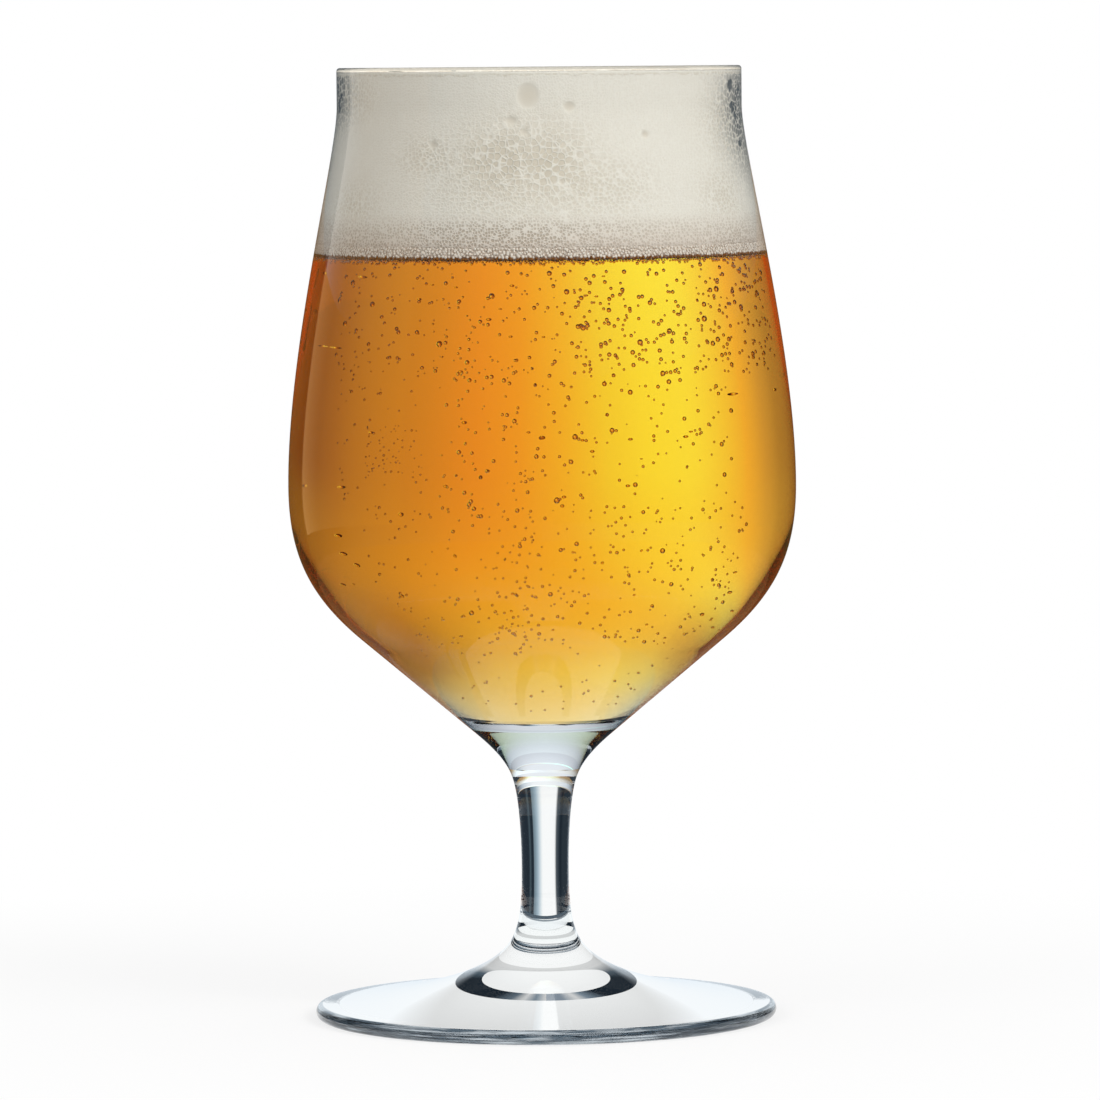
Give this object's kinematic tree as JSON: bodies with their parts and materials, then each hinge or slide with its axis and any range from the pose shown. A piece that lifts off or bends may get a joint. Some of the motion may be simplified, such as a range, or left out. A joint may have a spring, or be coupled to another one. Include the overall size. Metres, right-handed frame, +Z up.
{
  "type": "tulip beer glass",
  "caption": "Stemmed tulip glass on a round foot, filled with golden beer under a head of foam that reaches the rim; for serving and drinking beer.",
  "frame": {"origin": "centre of the ring that the foot stands on", "axes": "+Z up along the axis of the glass, from the foot to the rim; the glass is round, so +X and +Y are any two level directions, and the picture looks along +Y"},
  "size_m": [0.0908, 0.0908, 0.17],
  "materials": {
    "clear_glass": "polished",
    "beer": "gloss",
    "foam": "matte"
  },
  "bodies": {
    "root": {"foot": "clear_glass", "stem": "clear_glass", "bowl": "clear_glass", "beer": "beer", "foam_head": "foam"}
  },
  "joints": []
}
